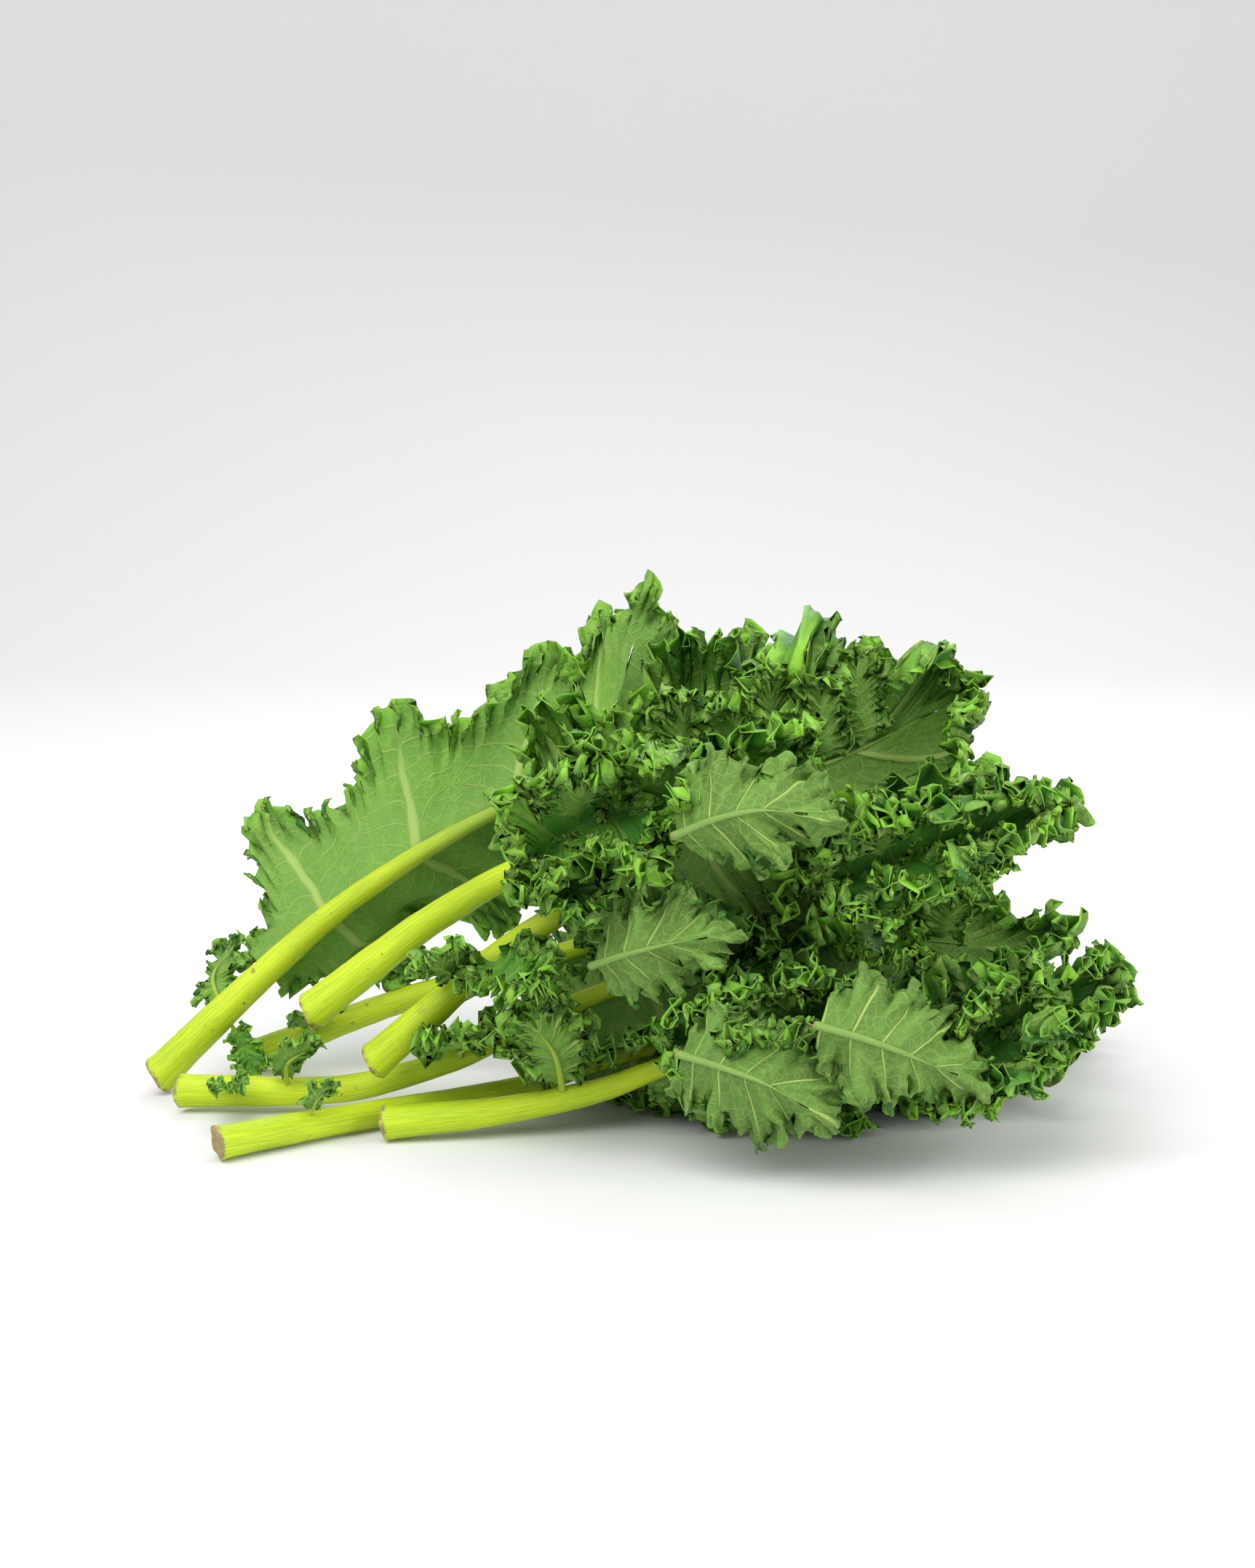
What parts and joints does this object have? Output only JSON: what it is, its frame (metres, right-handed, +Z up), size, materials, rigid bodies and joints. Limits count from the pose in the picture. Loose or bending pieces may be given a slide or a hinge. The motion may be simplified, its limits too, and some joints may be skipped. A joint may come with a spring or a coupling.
{
  "type": "curly kale bunch",
  "caption": "Heap of loose curly green kale leaves lying flat, thick pale stalks fanned to one side, ruffled dark blades massed at the other.",
  "frame": {"origin": "centre of the bounding box's bottom face, on the table under the heap", "axes": "+X from the cut stalk ends to the leaf tips, +Y from the front of the heap to its back, +Z up"},
  "size_m": [0.4268, 0.3127, 0.2195],
  "materials": {
    "stalk": "smooth, slightly glossy pale yellow-green stalk; plastic stands in for plant tissue",
    "blade": "soft sheen dark green leaf blade; plastic stands in for plant tissue"
  },
  "bodies": {
    "root": {"leaf_01_blade": "blade", "leaf_01_leaflet_11": "blade", "leaf_01_leaflet_12": "blade", "leaf_01_stalk": "stalk", "leaf_02_blade": "blade", "leaf_02_leaflet_21": "blade", "leaf_02_stalk": "stalk", "leaf_03_blade": "blade", "leaf_03_stalk": "stalk", "leaf_04_blade": "blade", "leaf_04_leaflet_41": "blade", "leaf_04_leaflet_42": "blade", "leaf_04_stalk": "stalk", "leaf_05_blade": "blade", "leaf_05_leaflet_51": "blade", "leaf_05_leaflet_52": "blade", "leaf_05_leaflet_53": "blade", "leaf_05_stalk": "stalk", "leaf_06_blade": "blade", "leaf_06_leaflet_61": "blade", "leaf_06_stalk": "stalk", "leaf_07_blade": "blade", "leaf_07_leaflet_71": "blade", "leaf_07_stalk": "stalk", "leaf_08_blade": "blade", "leaf_08_stalk": "stalk", "leaf_09_blade": "blade", "leaf_09_stalk": "stalk", "leaf_10_blade": "blade", "leaf_10_stalk": "stalk", "leaf_11_blade": "blade", "leaf_11_stalk": "stalk", "leaf_12_blade": "blade", "leaf_12_stalk": "stalk", "leaf_13_blade": "blade", "leaf_13_stalk": "stalk", "leaf_14_blade": "blade", "leaf_14_stalk": "stalk", "leaf_15_blade": "blade", "leaf_15_stalk": "stalk", "leaf_16_blade": "blade", "leaf_16_stalk": "stalk", "leaf_17_blade": "blade", "leaf_17_stalk": "stalk", "leaf_18_blade": "blade", "leaf_18_stalk": "stalk"}
  },
  "joints": []
}
